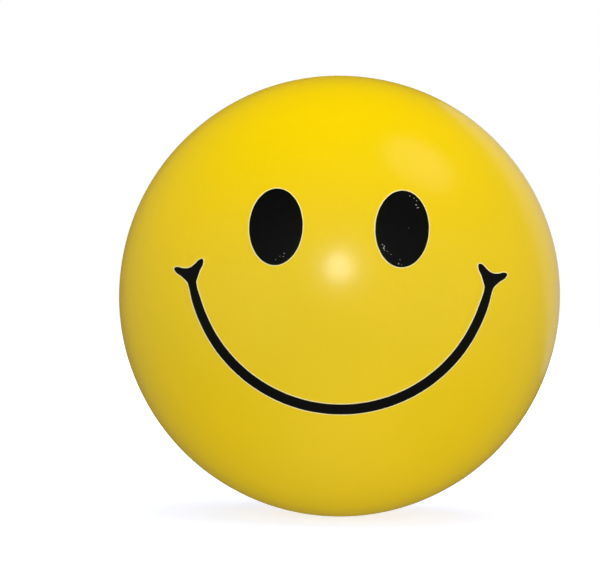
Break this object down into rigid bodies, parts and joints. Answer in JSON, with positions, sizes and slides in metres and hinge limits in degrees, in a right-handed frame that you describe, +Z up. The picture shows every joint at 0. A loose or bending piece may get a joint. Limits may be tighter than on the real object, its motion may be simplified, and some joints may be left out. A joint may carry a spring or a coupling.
{
  "type": "foam stress ball",
  "caption": "Round moulded-foam stress ball with a glossy yellow skin and a printed smiling face; it squashes between finger and thumb and springs back.",
  "frame": {"origin": "middle of the small trimmed gate face, at the very bottom of the ball", "axes": "+Z up through the top of the ball, -Y is the way the printed face looks, +X towards the right-hand eye as seen from in front"},
  "size_m": [0.063, 0.063, 0.0629],
  "materials": {
    "skin_yellow": "glossy soft polyurethane skin, slightly mottled",
    "foam_cream": "matte fine-celled polyurethane foam",
    "seal_yellow": "satin touch-up coat over the trimmed gate",
    "ink_black": "satin black pad-printing ink with a few pinholes"
  },
  "bodies": {
    "base_half": {"skin": "skin_yellow", "foam_core_lower": "foam_cream", "gate_seal": "seal_yellow", "eye_left": "ink_black", "eye_right": "ink_black", "mouth": "ink_black"},
    "crown_half": {"foam_core_upper": "foam_cream"}
  },
  "joints": [
    {"name": "squeeze", "type": "slide", "parent": "base_half", "child": "crown_half", "axis": [0, 0, -1], "range_m": [0, 0.025], "stiffness_N_per_m": 1600, "deforming": ["skin", "foam_core_lower", "eye_left", "eye_right", "mouth"]}
  ]
}
